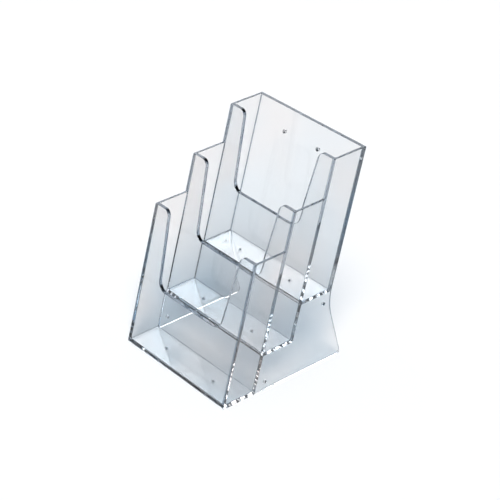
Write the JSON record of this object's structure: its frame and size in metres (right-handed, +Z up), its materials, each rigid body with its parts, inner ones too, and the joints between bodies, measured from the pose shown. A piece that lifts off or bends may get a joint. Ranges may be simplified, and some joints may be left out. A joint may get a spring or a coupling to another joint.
{
  "type": "brochure rack",
  "caption": "Clear plastic countertop brochure rack with stepped, leaning pockets, U-shaped finger cuts and an open waisted base.",
  "frame": {"origin": "centre of the bounding box in X and Y, at the table surface in Z", "axes": "+Z up, +X to the right as seen by someone standing in front of the rack, +Y from the front pocket towards the back"},
  "size_m": [0.166, 0.1932, 0.245],
  "materials": {
    "clear_plastic": "gloss"
  },
  "bodies": {
    "root": {"left_side_panel": "clear_plastic", "right_side_panel": "clear_plastic", "front_panel": "clear_plastic", "lower_divider": "clear_plastic", "upper_divider": "clear_plastic", "back_panel": "clear_plastic", "lower_floor": "clear_plastic", "middle_floor": "clear_plastic", "upper_floor": "clear_plastic"}
  },
  "joints": []
}
